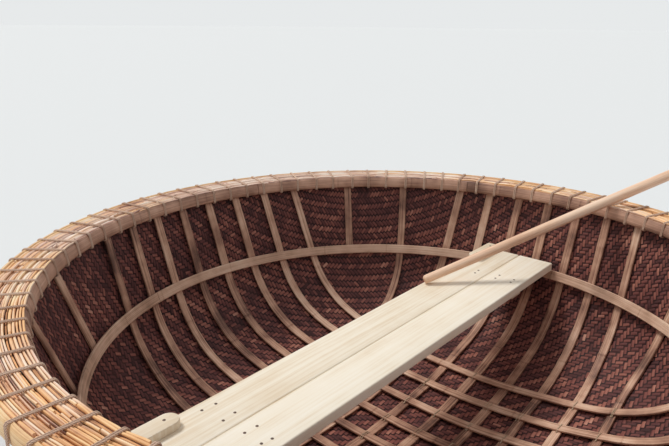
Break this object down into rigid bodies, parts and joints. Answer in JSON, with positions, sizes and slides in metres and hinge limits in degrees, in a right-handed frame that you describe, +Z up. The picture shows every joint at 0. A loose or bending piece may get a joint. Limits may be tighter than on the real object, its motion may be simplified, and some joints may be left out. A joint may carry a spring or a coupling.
{
  "type": "round basket boat",
  "caption": "Round woven bamboo basket boat with a bent lath lattice, cord-lashed splint rim, plank thwart and a wooden paddle resting over the rim.",
  "frame": {"origin": "on the hull's axis, at the waterline of the empty boat", "axes": "+Z up; +Y along the thwart; +X along the upper layer of laths"},
  "size_m": [2.0274, 2.2922, 0.8098],
  "materials": {
    "woven_skin": "resin-coated split-bamboo weave",
    "lath_bamboo": "weathered split bamboo",
    "hoop_bamboo": "weathered split bamboo",
    "rim_bamboo": "pale split bamboo",
    "cord": "twisted cord",
    "pale_board": "pale sawn board",
    "paddle_wood": "smooth light wood"
  },
  "bodies": {
    "boat": {"hull_skin": "woven_skin", "inner_hoop": "hoop_bamboo", "rim_laths": "rim_bamboo", "rim_core": "rim_bamboo", "outer_hoop": "rim_bamboo", "rim_lashings": "cord", "waist_hoop": "lath_bamboo", "thwart_board_left": "pale_board", "thwart_board_right": "pale_board", "thwart_batten_near": "pale_board", "thwart_batten_far": "pale_board", "thwart_cleat_near": "pale_board", "thwart_cleat_far": "pale_board", "rib_across_03": "lath_bamboo", "rib_across_04": "lath_bamboo", "rib_across_05": "lath_bamboo", "rib_across_06": "lath_bamboo", "rib_across_07": "lath_bamboo", "rib_across_08": "lath_bamboo", "rib_across_09": "lath_bamboo", "rib_across_10": "lath_bamboo", "rib_across_11": "lath_bamboo", "rib_along_01": "lath_bamboo", "rib_along_02": "lath_bamboo", "rib_along_03": "lath_bamboo", "rib_along_04": "lath_bamboo", "rib_along_05": "lath_bamboo", "rib_along_06": "lath_bamboo", "rib_along_07": "lath_bamboo", "rib_along_08": "lath_bamboo", "rib_along_09": "lath_bamboo", "rib_along_10": "lath_bamboo", "rib_along_11": "lath_bamboo", "rib_along_12": "lath_bamboo"},
    "paddle": {"paddle": "paddle_wood"}
  },
  "joints": [
    {"name": "paddle_lift", "type": "slide", "parent": "boat", "child": "paddle", "axis": [0, 0, 1], "range_m": [0, 0.5]}
  ]
}
